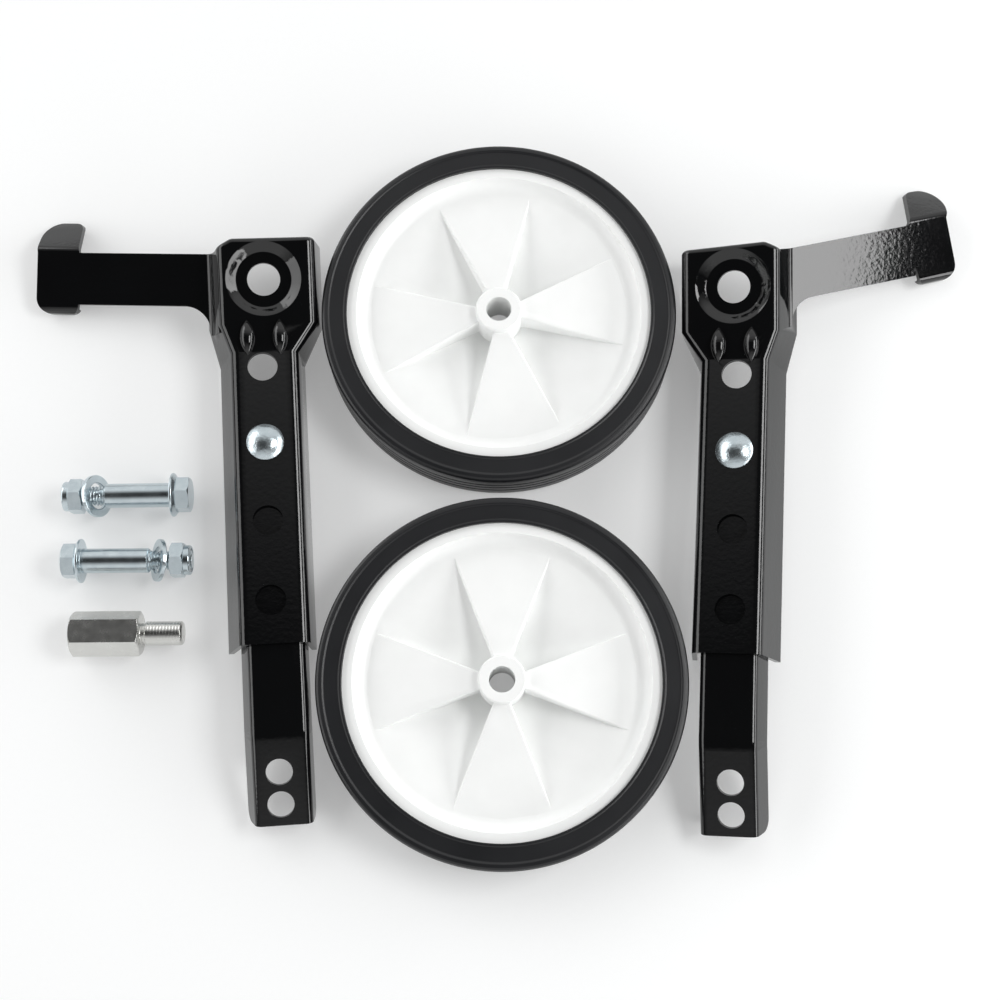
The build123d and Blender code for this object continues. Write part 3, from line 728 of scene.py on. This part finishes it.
bolt_cutters = [
    (hexagon, (nut_flat, (-bolt_length, flange_top - hex_seam), 0.0)),
    (thread, (thread_pitch, thread_depth, (shoulder_length, bolt_length + thread_pitch))),
]
bolt_axes = {}
for joint in frame["joints"]:
    which = joint["child"].removeprefix("nut_")
    along = np.array(joint["axis"]) / np.linalg.norm(joint["axis"])
    start = np.array(joint["pos_m"]) / MM - along * (nut_from_flange + nut_hex / 2)
    bolt_axes[which] = (start, along)
    outline = divided(bolt_profile(), bolt_step, closed=False)
    turned_piece("wheel_bolt_" + which, outline, start, along, closed=False, cutters=bolt_cutters)

# %% [markdown]
# ## Lock nuts and washers
# A lock nut is a hexagon with a round collar, whose rim is rolled inwards over the nylon ring. A
# thick washer leans on each thread. The washer's place is read from its solid: the direction in
# which a flat ring's points spread least is its axis.

# %% Lock nuts and their nylon rings
nut_collar, collar_radius, collar_round, collar_lip = 2.6, 6.1, 0.9, 0.5
nylon_radius, nylon_bore, nylon_round, nut_step = 5.2, 4.05, 0.15, 0.25
lip_radius = thread_radius + 2 * collar_lip
collar_end = nut_hex + nut_collar


def lock_nut_profile():
    """Closed outline: hexagon, collar with a rolled rim, the ring's seat, and the bore."""
    return rounded([
        (0, nylon_bore, rim_edge),
        (0, nut_flat, face_edge),
        (hex_bevel, hex_corner, bevel_edge),
        (nut_hex - hex_bevel, hex_corner, bevel_edge),
        (nut_hex, nut_flat, bevel_edge),
        (nut_hex + hex_seam, collar_radius, sharp),
        (collar_end, collar_radius, collar_round),
        (collar_end, lip_radius, bevel_edge),
        (collar_end - collar_lip, lip_radius, bevel_edge),
        (collar_end - collar_lip, nylon_radius, sharp),
        (nut_hex, nylon_radius, sharp),
        (nut_hex, nylon_bore, sharp),
    ])


def ring_profile(start, end, inner, outer, cut):
    """Closed outline of a flat ring with rounded edges."""
    return rounded([
        (start, inner, cut), (start, outer, cut), (end, outer, cut), (end, inner, cut)
    ])


nut_cutters = [(hexagon, (nut_flat, (-1, nut_hex), 0.0))]
for which, (start, along) in bolt_axes.items():
    foot = start + along * nut_from_flange
    outline = divided(lock_nut_profile(), nut_step, closed=True)
    turned_piece("lock_nut_" + which, outline, foot, along, cutters=nut_cutters)
    outline = ring_profile(nut_hex, collar_end - collar_lip, nylon_bore, nylon_radius, nylon_round)
    turned_piece("nylon_ring_" + which, outline, foot, along)

# %% Washers
washer_half, washer_hole, washer_radius, washer_round = 0.9, 5.4, 8.7, 0.35


def leaning_axis(node):
    """Middle of a flat ring and its axis, which is the direction that its points spread least in."""
    points = read_points(bpy.data.objects[node].data) / MM
    middle = (points.min(axis=0) + points.max(axis=0)) / 2
    return middle, np.linalg.svd(points - middle, full_matrices=False)[2][2]


for which in bolt_axes:
    middle, along = leaning_axis("bolt_washer_" + which)
    outline = ring_profile(-washer_half, washer_half, washer_hole, washer_radius, washer_round)
    turned_piece("bolt_washer_" + which, outline, middle, along)
    print("its axis:", along.round(3))

# %% [markdown]
# ## Axle adapter
# The adapter screws onto the bicycle's axle: hexagon bar with a threaded hole in one end, and a
# stud with a shallow rolled thread turned on the other. It lies on a flat, so a flat is on top.
# It is one turned piece, so one profile goes from the bottom of the hole round to the stud's end.

# %% Axle adapter
adapter_flat, adapter_length, neck_radius, neck_length = 8.0, 28.0, 4.2, 2.0
stud_radius, stud_length, stud_thread_depth = 4.9, 15.0, 0.10
hole_radius, hole_depth, hole_round, adapter_step = 4.5, 20.0, 0.5, 0.2
adapter_corner = adapter_flat / math.cos(math.pi / 6)
adapter_bevel = (adapter_corner - adapter_flat) * math.tan(math.pi / 6)
stud_start = adapter_length + neck_length
stud_end = stud_start + stud_length
adapter_corners = [
    (hole_depth, 0, sharp),
    (hole_depth, hole_radius, sharp),
    (0, hole_radius, hole_round),
    (0, adapter_flat, face_edge),
    (adapter_bevel, adapter_corner, bevel_edge),
    (adapter_length - adapter_bevel, adapter_corner, bevel_edge),
    (adapter_length, adapter_flat, face_edge),
    (adapter_length, neck_radius, rim_edge),
    (stud_start, neck_radius, step_edge),
    (stud_start, stud_radius, rim_edge),
    (stud_end - tip_bevel, stud_radius, rim_edge),
    (stud_end, stud_radius - tip_bevel, rim_edge),
    (stud_end, 0, sharp),
]
adapter_cutters = [
    (hexagon, (adapter_flat, (-1, adapter_length), math.pi / 2)),
    (thread, (thread_pitch, stud_thread_depth, (stud_start, stud_end))),
]
hole = mounts["adapter_hole"]
along = -np.array(hole["axis"]) / np.linalg.norm(hole["axis"])
start = np.array(hole["pos_m"]) / MM - along * hole_depth / 2
outline = divided(rounded(adapter_corners), adapter_step, closed=False)
turned_piece("axle_adapter", outline, start, along, closed=False, cutters=adapter_cutters)

# %% [markdown]
# ## Table
# It shows white where nothing shades it: a little light of its own, for the camera and for
# mirrors only, lifts it there. More lamp light would do that too, but it would bleach the white
# discs, and the soft shadows would go.

# %% Table
table_half, own_light, laminate_grain = 9.0, 0.26, 2 * MM


def white_table():
    """Matte white laminate; camera, glossy and transmitted rays see a little light of its own."""
    material, tree, place = new_material("matte_white_laminate")
    grain = add_node(tree, "ShaderNodeTexNoise", {"Vector": place, "Scale": 1 / laminate_grain})
    tone = add_node(
        tree, "ShaderNodeMix",
        {"Factor": grain.outputs["Fac"], "A": linear("#dcdddd"), "B": linear("#dedfdf")},
        data_type="RGBA",
    )
    matte = add_node(tree, "ShaderNodeBsdfDiffuse", {"Color": tone.outputs["Result"]})
    ray = add_node(tree, "ShaderNodeLightPath").outputs
    seen = add_node(
        tree, "ShaderNodeMath",
        {0: ray["Is Camera Ray"], 1: ray["Is Glossy Ray"]}, operation="MAXIMUM",
    )
    seen_all = add_node(
        tree, "ShaderNodeMath",
        {0: seen.outputs["Value"], 1: ray["Is Transmission Ray"]}, operation="MAXIMUM",
    )
    lift = add_node(
        tree, "ShaderNodeMath", {0: seen_all.outputs["Value"], 1: own_light}, operation="MULTIPLY"
    )
    glow = add_node(
        tree, "ShaderNodeEmission",
        {"Color": linear("#ffffff"), "Strength": lift.outputs["Value"]},
    )
    both = add_node(
        tree, "ShaderNodeAddShader", {0: matte.outputs["BSDF"], 1: glow.outputs["Emission"]}
    )
    close_material(tree, both.outputs["Shader"])
    return material


table_corners = np.array([(-1, -1, 0), (1, -1, 0), (1, 1, 0), (-1, 1, 0)]) * table_half
table_mesh = bpy.data.meshes.new("table")
table_mesh.from_pydata(table_corners.tolist(), [], [(0, 1, 2, 3)])
table_mesh.materials.append(white_table())
table = bpy.data.objects.new("table", table_mesh)
bpy.context.collection.objects.link(table)
print("table:", 2 * table_half, "m wide")

# %% [markdown]
# ## Room
# Gloss black and bright steel show the room more than themselves. Over a camera on a stand the
# room is dark, and it gets brighter towards the front and the back. So the world is dark in a band
# that runs overhead from left to right: it gives the black webs their depth and each bolt its dark
# stripe, and the bright ends light the facets that lean away. Plain grey would make all of them
# look like plastic.

# %% Room
band_shift = 0.1


def room(bright, dark, near, far):
    """World light: dark within near of the band's middle, bright past far, straight between."""
    world = bpy.data.worlds.new("studio_room")
    world.use_nodes = True
    tree = world.node_tree
    tree.nodes.clear()
    way = add_node(tree, "ShaderNodeTexCoord").outputs["Generated"]
    depth = add_node(
        tree, "ShaderNodeVectorMath", {0: way, 1: (0, 1, 0)}, operation="DOT_PRODUCT"
    )
    shifted = add_node(
        tree, "ShaderNodeMath", {0: depth.outputs["Value"], 1: band_shift}, operation="ADD"
    )
    off_band = add_node(
        tree, "ShaderNodeMath", {0: shifted.outputs["Value"]}, operation="ABSOLUTE"
    )
    strength = add_node(
        tree, "ShaderNodeMapRange",
        {
            "Value": off_band.outputs["Value"], "From Min": near, "From Max": far,
            "To Min": dark, "To Max": bright,
        },
    )
    light = add_node(
        tree, "ShaderNodeBackground",
        {"Color": linear("#ffffff"), "Strength": strength.outputs["Result"]},
    )
    add_node(tree, "ShaderNodeOutputWorld", {"Surface": light.outputs["Background"]})
    return world


bpy.context.scene.world = room(bright=0.90, dark=0.03, near=0.28, far=0.72)
print("world:", bpy.context.scene.world.name)

# %% [markdown]
# ## Lamps
# Two soft boxes stand on the right, one high and one low and long, so the shadows fall to the left
# and the dish shows one bright crescent. A large weak one on the left keeps the shadows open. All
# are broad, because a small lamp would leave hard spots on the enamel.


# %% Lamps
def soft_box(name, place, aim, width, height, power):
    """Rectangular area lamp at a place, turned towards a point; its width lies level."""
    lamp = bpy.data.lights.new(name, "AREA")
    lamp.shape = "RECTANGLE"
    lamp.size, lamp.size_y, lamp.energy = width, height, power
    obj = bpy.data.objects.new(name, lamp)
    obj.location = place
    obj.rotation_euler = (Vector(aim) - Vector(place)).to_track_quat("-Z", "Y").to_euler()
    bpy.context.collection.objects.link(obj)
    print(name, power, "W")


soft_box(
    "key_right", place=(0.85, 0.06, 1.015), aim=(0.1, 0.05, 0), width=0.7, height=0.42, power=7.0
)
soft_box(
    "low_right", place=(1.25, -0.25, 0.42), aim=(0.0, -0.05, 0), width=2.4, height=0.36, power=13.5
)
soft_box(
    "fill_left", place=(-1.10, 0.20, 0.60), aim=(-0.1, 0.0, 0), width=2.0, height=0.7, power=10.5
)

# %% [markdown]
# ## Camera
# The camera looks almost straight down, tilted a little from the front, so each wheel shows a
# sliver of its tread. Its focal length is given in pixels of a picture 1000 wide, and the sensor's
# width turns that into millimetres.

# %% Camera
focal_px, image_px, sensor_mm = 1600.0, 1000.0, 36.0
camera_place, camera_tilt = (0.0010, -0.1519, 0.650), math.radians(13.2)
lens = bpy.data.cameras.new("camera")
lens.sensor_width = sensor_mm
lens.lens = focal_px / image_px * sensor_mm
camera = bpy.data.objects.new("camera", lens)
camera.location = camera_place
camera.rotation_euler = (camera_tilt, 0, 0)
bpy.context.collection.objects.link(camera)
bpy.context.scene.camera = camera
bpy.context.scene.view_settings.view_transform = "Standard"
print("camera:", round(lens.lens, 1), "mm lens at", camera_place)
